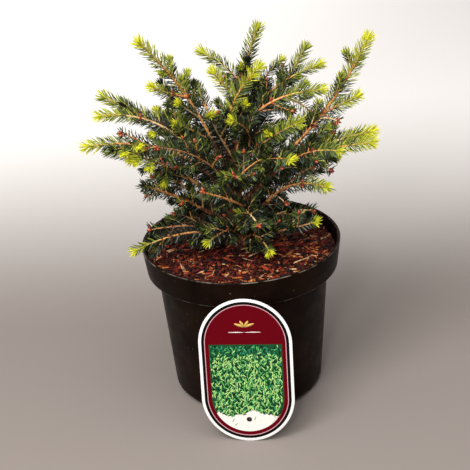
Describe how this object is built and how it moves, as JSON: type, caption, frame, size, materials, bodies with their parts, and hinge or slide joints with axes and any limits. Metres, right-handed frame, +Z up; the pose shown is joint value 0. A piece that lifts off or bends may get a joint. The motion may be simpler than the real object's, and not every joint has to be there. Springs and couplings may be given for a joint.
{
  "type": "birds nest spruce in a nursery pot",
  "caption": "Dwarf spruce shrub with spreading needle-covered shoots on a short trunk, in a round collared nursery pot with bark mulch and a plant label leaning on it.",
  "frame": {"origin": "centre of the pot's flat underside", "axes": "+Z up, -Y towards the front with the label, +X to the right as seen from the front"},
  "size_m": [0.2347, 0.2109, 0.3255],
  "materials": {
    "pot_plastic": "black moulded polypropylene, satin",
    "growing_medium": "moist dark peat",
    "bark_mulch": "shredded red-brown bark",
    "label_card": "printed plastic card with a soft sheen",
    "bark": "orange-brown young bark with leaf-base ridges",
    "foliage": "stiff green needles, yellow-green at the tips"
  },
  "bodies": {
    "root": {"pot": "pot_plastic", "growing_medium": "growing_medium", "bark_mulch": "bark_mulch", "plant_label": "label_card", "trunk": "bark", "bough_left_leader": "bark", "bough_left_pair": "bark", "bough_left_far": "bark", "bough_left_dark": "bark", "bough_top": "bark", "bough_right_leader": "bark", "bough_right_pair": "bark", "bough_right_bright": "bark", "bough_back_right_tall": "bark", "bough_back_left_tall": "bark", "bough_back_left_wide": "bark", "bough_back_centre": "bark", "bough_back_right_wide": "bark", "bough_back_right_side": "bark", "bough_back_left_side": "bark", "bough_back_left_mid": "bark", "foliage_left_leader": "foliage", "foliage_left_pair": "foliage", "foliage_left_far": "foliage", "foliage_left_middle": "foliage", "foliage_left_dark": "foliage", "foliage_left_low": "foliage", "foliage_left_lowest": "foliage", "foliage_top_left": "foliage", "foliage_top": "foliage", "foliage_right_leader": "foliage", "foliage_right_pair": "foliage", "foliage_right_bright": "foliage", "foliage_right_low": "foliage", "foliage_right_upper": "foliage", "foliage_right_front": "foliage", "foliage_front_low": "foliage", "foliage_front_low_left": "foliage", "foliage_front_star": "foliage", "foliage_front_left": "foliage", "foliage_front_bud": "foliage", "foliage_front_right": "foliage", "foliage_front_upper": "foliage", "foliage_front_top": "foliage", "foliage_back_right_tall": "foliage", "foliage_back_right_far": "foliage", "foliage_back_tall": "foliage", "foliage_back_left_tall": "foliage", "foliage_back_left_wide": "foliage", "foliage_back_centre": "foliage", "foliage_back_right_wide": "foliage", "foliage_back_right_side": "foliage", "foliage_back_left_side": "foliage", "foliage_back_left_mid": "foliage", "foliage_back_mid": "foliage", "foliage_back_right_low": "foliage", "foliage_back_left_low": "foliage", "foliage_side_right_low": "foliage"}
  },
  "joints": []
}
